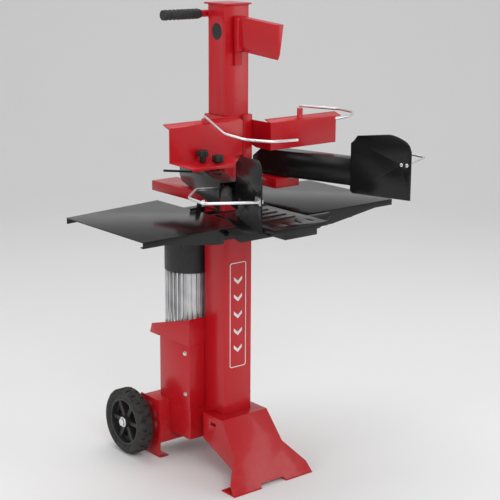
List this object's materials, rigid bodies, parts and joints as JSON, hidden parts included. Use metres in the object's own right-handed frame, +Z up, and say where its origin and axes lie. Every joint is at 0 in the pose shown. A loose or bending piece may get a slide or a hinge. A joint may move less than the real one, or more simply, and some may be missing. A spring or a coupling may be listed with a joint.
{
  "type": "log splitter",
  "caption": "Vertical electric hydraulic log splitter with a sliding ram column and blade, two-hand control arms, side tables and transport wheels.",
  "frame": {"origin": "centre of the overall box in plan, at floor height", "axes": "+Z up, -Y towards the operator and the way the blade points, +X to the right as seen from the operator's side"},
  "size_m": [0.972, 0.902, 1.485],
  "materials": {
    "red": "gloss",
    "black": "gloss",
    "steel": "satin",
    "zinc": "satin",
    "alu": "satin",
    "plastic": "matte",
    "grip": "matte",
    "white": "satin",
    "green": "satin",
    "stop_red": "satin",
    "tyre": "matte",
    "nylon": "matte",
    "iron": "matte"
  },
  "bodies": {
    "root": {"column": "red", "label_frame": "white", "guide_pads": "nylon", "cylinder_barrel": "black", "wing_left": "red", "wing_right": "red", "yoke_pins": "zinc", "centre_table": "black", "log_platform": "black", "table_rails": "black", "table_left": "black", "table_right": "black", "front_foot": "red", "base_box": "red", "rear_crossmember": "red", "rear_feet": "red", "axle": "zinc", "motor_bracket": "red", "pump_cover": "red", "hex_bolts": "zinc", "pump_block": "iron", "motor_body": "alu", "motor_cowl": "plastic", "switch_box": "plastic"},
    "ram": {"ram_column": "red", "ram_cap": "red", "blade": "red", "transport_handle": "red", "transport_grip": "grip", "piston_rod": "steel", "pin_plugs": "plastic"},
    "yoke": {"carrier_left": "red", "carrier_right": "red", "yoke_crossbar": "red"},
    "control_arm_left": {"arm_left": "black", "guard_left": "black", "lever_bar_left": "red", "lever_grip_left": "grip", "hand_loop_left": "zinc"},
    "control_arm_right": {"arm_right": "black", "guard_right": "black", "lever_bar_right": "red", "lever_grip_right": "grip", "hand_loop_right": "zinc"},
    "valve": {"valve_rod": "zinc"},
    "road_wheel_left": {"wheel_left": "plastic", "tyre_left": "tyre"},
    "road_wheel_right": {"wheel_right": "plastic", "tyre_right": "tyre"},
    "wire_left": {"log_wire_left": "zinc"},
    "wire_right": {"log_wire_right": "zinc"},
    "knob_outer": {"star_knob_outer": "plastic"},
    "knob_inner": {"star_knob_inner": "plastic"},
    "table_latch_left": {"latch_left": "black"},
    "table_latch_right": {"latch_right": "black"},
    "rotor": {"motor_rotor": "iron"},
    "start": {"start_button": "green"},
    "stop": {"stop_button": "stop_red"},
    "filler": {"filler_cap": "plastic"}
  },
  "joints": [
    {"name": "ram_stroke", "type": "slide", "parent": "root", "child": "ram", "axis": [0, 0, 1], "range_m": [-0.325, 0]},
    {"name": "yoke_tilt", "type": "hinge", "parent": "root", "child": "yoke", "pos_m": [0, 0.063, 0.93], "axis": [1, 0, 0], "range_deg": [0, 8], "stiffness_Nm_per_rad": 60, "springref_deg": -28.65},
    {"name": "arm_swing_left", "type": "hinge", "parent": "yoke", "child": "control_arm_left", "pos_m": [-0.1575, 0.043, 0.947], "axis": [0, 0, 1], "range_deg": [-7, 12]},
    {"name": "arm_swing_right", "type": "hinge", "parent": "yoke", "child": "control_arm_right", "pos_m": [0.1575, 0.043, 0.947], "axis": [0, 0, 1], "range_deg": [-12, 7]},
    {"name": "valve_lift", "type": "slide", "parent": "root", "child": "valve", "axis": [0, 0, 1], "range_m": [0, 0.013]},
    {"name": "wheel_spin_left", "type": "hinge", "parent": "root", "child": "road_wheel_left", "pos_m": [-0.205, 0.341, 0.112], "axis": [1, 0, 0], "continuous": true},
    {"name": "wheel_spin_right", "type": "hinge", "parent": "root", "child": "road_wheel_right", "pos_m": [0.205, 0.341, 0.112], "axis": [1, 0, 0], "continuous": true},
    {"name": "wire_swing_left", "type": "hinge", "parent": "root", "child": "wire_left", "pos_m": [-0.185, -0.049, 1.13], "axis": [0, 0, 1], "range_deg": [-50, 5]},
    {"name": "wire_swing_right", "type": "hinge", "parent": "root", "child": "wire_right", "pos_m": [0.185, -0.049, 1.13], "axis": [0, 0, 1], "range_deg": [-5, 50]},
    {"name": "knob_turn_outer", "type": "hinge", "parent": "root", "child": "knob_outer", "pos_m": [-0.222, -0.089, 1.05], "axis": [0, 0, 1], "continuous": true},
    {"name": "knob_turn_inner", "type": "hinge", "parent": "root", "child": "knob_inner", "pos_m": [-0.178, -0.105, 1.045], "axis": [0, 0, 1], "continuous": true},
    {"name": "latch_swing_left", "type": "hinge", "parent": "root", "child": "table_latch_left", "pos_m": [-0.105, 0.083, 0.838], "axis": [0, 1, 0], "range_deg": [0, 55]},
    {"name": "latch_swing_right", "type": "hinge", "parent": "root", "child": "table_latch_right", "pos_m": [0.105, 0.083, 0.838], "axis": [0, -1, 0], "range_deg": [0, 55]},
    {"name": "rotor_spin", "type": "hinge", "parent": "root", "child": "rotor", "pos_m": [-0.04, 0.223, 0.5], "axis": [0, 0, 1], "continuous": true},
    {"name": "start_press", "type": "slide", "parent": "root", "child": "start", "axis": [-1, 0, 0], "range_m": [0, 0.004], "stiffness_N_per_m": 400},
    {"name": "stop_press", "type": "slide", "parent": "root", "child": "stop", "axis": [-1, 0, 0], "range_m": [0, 0.004], "stiffness_N_per_m": 400},
    {"name": "filler_turn", "type": "hinge", "parent": "root", "child": "filler", "pos_m": [0.078, 0.181, 0.196], "axis": [0, 0, 1], "continuous": true}
  ],
  "couplings": [
    {"joint": "valve_lift", "follows": "yoke_tilt", "m_per_rad": 0.082}
  ]
}
